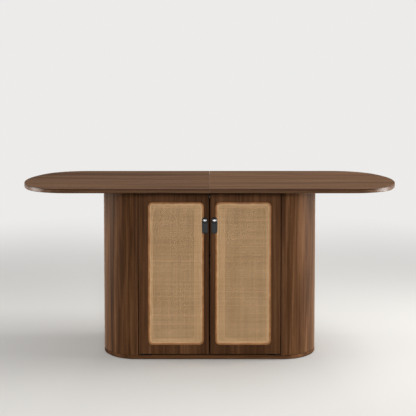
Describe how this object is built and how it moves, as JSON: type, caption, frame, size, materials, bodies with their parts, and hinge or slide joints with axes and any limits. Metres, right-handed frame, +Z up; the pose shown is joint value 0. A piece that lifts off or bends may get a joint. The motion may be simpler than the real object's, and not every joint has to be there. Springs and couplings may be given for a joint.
{
  "type": "kitchen table with storage cabinet",
  "caption": "Long soft-ended dining table on a round-ended storage cabinet base with hinged cane-panel doors, leather pulls and an inside shelf.",
  "frame": {"origin": "on the floor under the middle of the top", "axes": "+Z up, +X along the length toward the right door, the doors face -Y"},
  "size_m": [1.6468, 0.7, 0.76],
  "materials": {
    "walnut": "satin veneer",
    "cane": "woven cane, satin",
    "reed": "reed bead, satin",
    "leather": "smooth charcoal",
    "chrome": "polished",
    "zinc": "zinc plated",
    "magnet": "plain",
    "nylon": "moulded",
    "beech": "raw"
  },
  "bodies": {
    "cabinet": {"top_left": "walnut", "top_right": "walnut", "seam_dowels": "beech", "seam_plates": "zinc", "seam_plate_screws": "zinc", "top_screws": "zinc", "bottom_board": "walnut", "top_board": "walnut", "left_end_shell": "walnut", "right_end_shell": "walnut", "left_side_panel": "walnut", "right_side_panel": "walnut", "left_front_batten": "beech", "left_back_batten": "beech", "right_front_batten": "beech", "right_back_batten": "beech", "back_panel": "walnut", "shelf": "walnut", "shelf_pins": "zinc", "carcass_dowels": "beech", "cam_discs": "zinc", "cam_bolts": "zinc", "floor_glides": "nylon", "glide_screws": "zinc", "left_lower_pivot_plate": "zinc", "left_upper_pivot_plate": "zinc", "right_lower_pivot_plate": "zinc", "right_upper_pivot_plate": "zinc", "pivot_plate_screws": "zinc", "catch_body": "nylon", "catch_magnets": "magnet", "catch_screws": "zinc"},
    "left_door": {"left_door_frame": "walnut", "left_cane_panel": "cane", "left_cane_bead": "reed", "left_pull": "leather", "left_pull_stud": "chrome", "left_pull_nut": "chrome", "left_lower_bush": "nylon", "left_upper_bush": "nylon", "left_strike_plate": "zinc", "left_strike_screw": "zinc"},
    "right_door": {"right_door_frame": "walnut", "right_cane_panel": "cane", "right_cane_bead": "reed", "right_pull": "leather", "right_pull_stud": "chrome", "right_pull_nut": "chrome", "right_lower_bush": "nylon", "right_upper_bush": "nylon", "right_strike_plate": "zinc", "right_strike_screw": "zinc"}
  },
  "joints": [
    {"name": "left_door_hinge", "type": "hinge", "parent": "cabinet", "child": "left_door", "pos_m": [-0.288, -0.195, 0.372], "axis": [0, 0, -1], "range_deg": [0, 110]},
    {"name": "right_door_hinge", "type": "hinge", "parent": "cabinet", "child": "right_door", "pos_m": [0.288, -0.195, 0.372], "axis": [0, 0, 1], "range_deg": [0, 110]}
  ]
}
